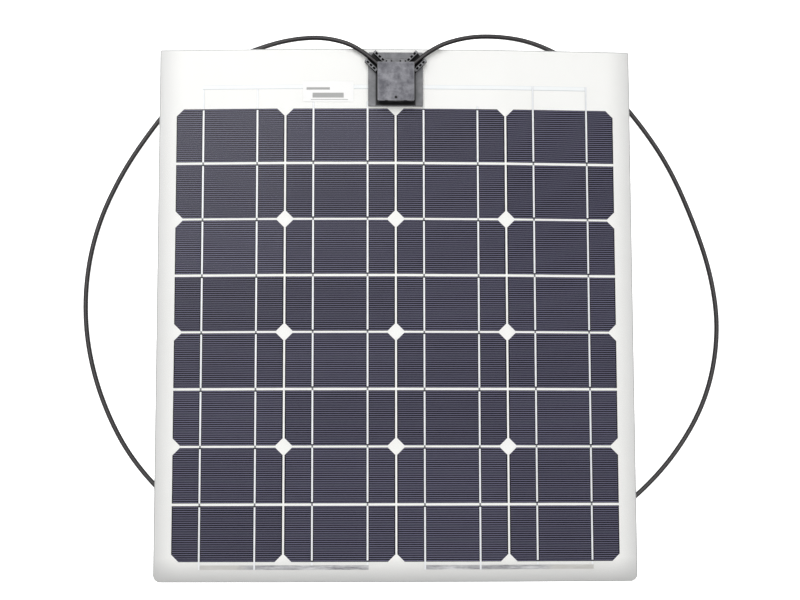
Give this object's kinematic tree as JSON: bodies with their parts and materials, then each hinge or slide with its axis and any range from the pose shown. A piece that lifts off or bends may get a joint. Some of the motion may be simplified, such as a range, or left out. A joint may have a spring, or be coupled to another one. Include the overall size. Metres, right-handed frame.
{
  "type": "flexible solar sheet",
  "caption": "Thin bendable laminate of half-cut dark cells with a low junction box and two plugged leads, lying face up in a low arch.",
  "frame": {"origin": "middle of the back face at the crown of the arch", "axes": "+X right across the columns, +Y towards the junction box, +Z out of the lit face"},
  "size_m": [0.7311, 0.6308, 0.0383],
  "materials": {
    "back_sheet": "matte",
    "rear_encapsulant": "satin",
    "front_encapsulant": "gloss",
    "front_film": "gloss",
    "silicon": "satin",
    "tinned_copper": "satin",
    "sealant": "matte",
    "box_plastic": "matte",
    "lid_plastic": "matte",
    "seal_rubber": "matte",
    "diode_epoxy": "matte",
    "lead_jacket": "satin",
    "plug_plastic": "satin",
    "contact_metal": "polished"
  },
  "bodies": {
    "panel": {"back_sheet": "back_sheet", "rear_encapsulant": "rear_encapsulant", "front_encapsulant": "front_encapsulant", "front_film": "front_film", "cell_c1_r1": "silicon", "cell_c1_r2": "silicon", "cell_c1_r3": "silicon", "cell_c1_r4": "silicon", "cell_c1_r5": "silicon", "cell_c1_r6": "silicon", "cell_c1_r7": "silicon", "cell_c1_r8": "silicon", "cell_c2_r1": "silicon", "cell_c2_r2": "silicon", "cell_c2_r3": "silicon", "cell_c2_r4": "silicon", "cell_c2_r5": "silicon", "cell_c2_r6": "silicon", "cell_c2_r7": "silicon", "cell_c2_r8": "silicon", "cell_c3_r1": "silicon", "cell_c3_r2": "silicon", "cell_c3_r3": "silicon", "cell_c3_r4": "silicon", "cell_c3_r5": "silicon", "cell_c3_r6": "silicon", "cell_c3_r7": "silicon", "cell_c3_r8": "silicon", "cell_c4_r1": "silicon", "cell_c4_r2": "silicon", "cell_c4_r3": "silicon", "cell_c4_r4": "silicon", "cell_c4_r5": "silicon", "cell_c4_r6": "silicon", "cell_c4_r7": "silicon", "cell_c4_r8": "silicon", "ribbons_string_1": "tinned_copper", "ribbons_string_2": "tinned_copper", "ribbons_string_3": "tinned_copper", "ribbons_string_4": "tinned_copper", "bus_top_left": "tinned_copper", "bus_top_middle": "tinned_copper", "bus_top_right": "tinned_copper", "bus_bottom": "tinned_copper", "contact_rails": "tinned_copper", "box_adhesive": "sealant", "box_base": "box_plastic", "bypass_diodes": "diode_epoxy", "cable_clamp_left": "box_plastic", "cable_clamp_right": "box_plastic", "left_lead": "lead_jacket", "right_lead": "lead_jacket", "pin_plug_body": "plug_plastic", "pin_plug_nut": "plug_plastic", "pin_contact": "contact_metal", "socket_plug_body": "plug_plastic", "socket_plug_nut": "plug_plastic", "socket_contact": "contact_metal"},
    "lid": {"box_lid": "lid_plastic", "lid_seal": "seal_rubber"}
  },
  "joints": [
    {"name": "lid_hinge", "type": "hinge", "parent": "panel", "child": "lid", "pos_m": [0, 0.2882, 0.0177], "axis": [-1, 0, 0], "range_deg": [0, 95]}
  ]
}
